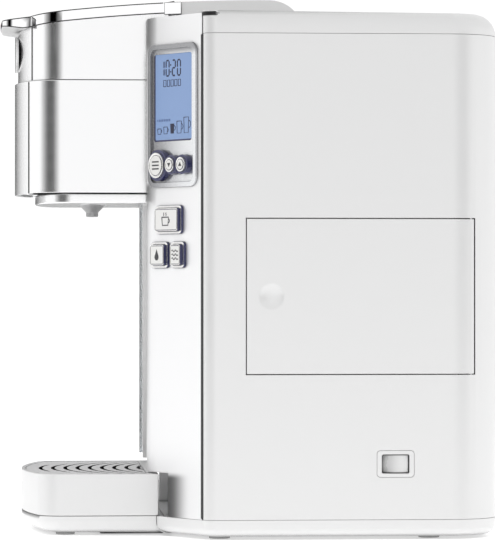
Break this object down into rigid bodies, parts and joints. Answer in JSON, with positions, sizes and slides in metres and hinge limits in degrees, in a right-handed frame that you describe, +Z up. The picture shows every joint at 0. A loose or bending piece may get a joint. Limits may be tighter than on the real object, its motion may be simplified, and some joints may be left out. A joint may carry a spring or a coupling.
{
  "type": "pod coffee machine",
  "caption": "Countertop pod coffee machine with a hinged brew head, angled display column, drip tray, removable water tank and side storage door.",
  "frame": {"origin": "centre of the bounding box in plan, on the plane of the feet", "axes": "+X is the side with the display and the storage door, -Y the front, +Z up"},
  "size_m": [0.237, 0.282, 0.308],
  "materials": {
    "white_plastic": "satin moulded white",
    "silver": "bright brushed silver",
    "chrome": "polished",
    "display": "blue backlit window",
    "navy": "navy moulded",
    "button_face": "pearl white with a silver ring",
    "liner": "matt light grey",
    "grey_plastic": "matt grey",
    "dark_plastic": "matt black",
    "frame_plastic": "moulded structural grey",
    "grey_metal": "satin pressed metal",
    "steel": "plain steel",
    "brass": "heater band",
    "board": "green circuit board",
    "rubber": "matt black rubber",
    "foot_rubber": "soft light grey",
    "hose": "milky silicone",
    "tank": "tinted clear plastic"
  },
  "bodies": {
    "chassis": {"base_pan": "white_plastic", "tray_base": "white_plastic", "feet": "foot_rubber", "side_cover": "white_plastic", "rear_cover": "white_plastic", "rear_screws": "steel", "top_cap": "white_plastic", "rear_top_cover": "white_plastic", "bay_wall": "white_plastic", "inner_frame": "frame_plastic", "reservoir_dock": "white_plastic", "control_column": "silver", "panel_bezel": "silver", "display_lens": "display", "control_board": "board", "round_surround": "navy", "button_skirts": "navy", "compartment_liner": "liner", "door_hinge_pin": "steel", "switch_frame": "white_plastic", "head_lower_shell": "silver", "head_front_panel": "silver", "head_bottom_pan": "white_plastic", "nozzle": "grey_plastic", "pod_holder": "dark_plastic", "exit_needle": "steel", "lid_hinge_bracket": "steel", "dock_seal": "rubber", "pump_housing": "dark_plastic", "air_pump": "grey_plastic", "boiler": "steel", "heater_band": "brass", "solenoid_valve": "dark_plastic", "hoses": "hose", "power_board": "board", "cord_gland": "rubber"},
    "lid": {"lid_shell": "silver", "lid_front_panel": "silver", "lid_plate": "chrome", "badge": "steel", "entry_needle": "steel", "lid_seal": "rubber", "lid_hinge_pin": "steel"},
    "door": {"storage_door": "white_plastic"},
    "rocker": {"power_rocker": "white_plastic"},
    "menu_key": {"menu_button": "button_face"},
    "down_key": {"down_button": "button_face"},
    "up_key": {"up_button": "button_face"},
    "brew_key": {"brew_button": "button_face"},
    "hot_water_key": {"hot_water_button": "button_face"},
    "rinse_key": {"rinse_button": "button_face"},
    "tray": {"drip_tray": "white_plastic"},
    "plate": {"drip_plate": "grey_metal"},
    "reservoir": {"reservoir_tank": "tank", "filter_holder": "grey_plastic", "valve_spring": "steel"},
    "tank_lid": {"reservoir_lid": "white_plastic", "reservoir_lid_pin": "steel"},
    "valve": {"valve_poppet": "rubber"},
    "impeller": {"pump_impeller": "steel"}
  },
  "joints": [
    {"name": "lid_hinge", "type": "hinge", "parent": "chassis", "child": "lid", "pos_m": [0, -0.04, 0.3035], "axis": [-1, 0, 0], "range_deg": [0, 70]},
    {"name": "door_hinge", "type": "hinge", "parent": "chassis", "child": "door", "pos_m": [0.11397, 0.12395, 0.1367], "axis": [0, 0, 1], "range_deg": [0, 82]},
    {"name": "rocker_tilt", "type": "hinge", "parent": "chassis", "child": "rocker", "pos_m": [0.1153, 0.081, 0.0426], "axis": [0, 0, 1], "range_deg": [0, 14]},
    {"name": "menu_press", "type": "slide", "parent": "chassis", "child": "menu_key", "axis": [-0.5519, 0.8339, 0], "range_m": [0, 0.001], "stiffness_N_per_m": 300},
    {"name": "down_press", "type": "slide", "parent": "chassis", "child": "down_key", "axis": [-0.5519, 0.8339, 0], "range_m": [0, 0.001], "stiffness_N_per_m": 300},
    {"name": "up_press", "type": "slide", "parent": "chassis", "child": "up_key", "axis": [-0.5519, 0.8339, 0], "range_m": [0, 0.001], "stiffness_N_per_m": 300},
    {"name": "brew_press", "type": "slide", "parent": "chassis", "child": "brew_key", "axis": [-0.5519, 0.8339, 0], "range_m": [0, 0.001], "stiffness_N_per_m": 300},
    {"name": "hot_water_press", "type": "slide", "parent": "chassis", "child": "hot_water_key", "axis": [-0.5519, 0.8339, 0], "range_m": [0, 0.001], "stiffness_N_per_m": 300},
    {"name": "rinse_press", "type": "slide", "parent": "chassis", "child": "rinse_key", "axis": [-0.5519, 0.8339, 0], "range_m": [0, 0.001], "stiffness_N_per_m": 300},
    {"name": "tray_slide", "type": "slide", "parent": "chassis", "child": "tray", "axis": [0, -1, 0], "range_m": [0, 0.15]},
    {"name": "plate_lift", "type": "slide", "parent": "tray", "child": "plate", "axis": [0, 0, 1], "range_m": [0, 0.08]},
    {"name": "reservoir_lift", "type": "slide", "parent": "chassis", "child": "reservoir", "axis": [0, 0, 1], "range_m": [0, 0.2]},
    {"name": "tank_lid_hinge", "type": "hinge", "parent": "reservoir", "child": "tank_lid", "pos_m": [-0.09037, 0.0916, 0.2908], "axis": [-1, 0, 0], "range_deg": [0, 88]},
    {"name": "valve_slide", "type": "slide", "parent": "reservoir", "child": "valve", "axis": [0, 0, 1], "range_m": [0, 0.003], "stiffness_N_per_m": 200, "springref_m": -0.001, "deforming": ["valve_spring"]},
    {"name": "impeller_spin", "type": "hinge", "parent": "chassis", "child": "impeller", "pos_m": [-0.01102, 0.009, 0.0494], "axis": [0, 1, 0], "continuous": true}
  ]
}
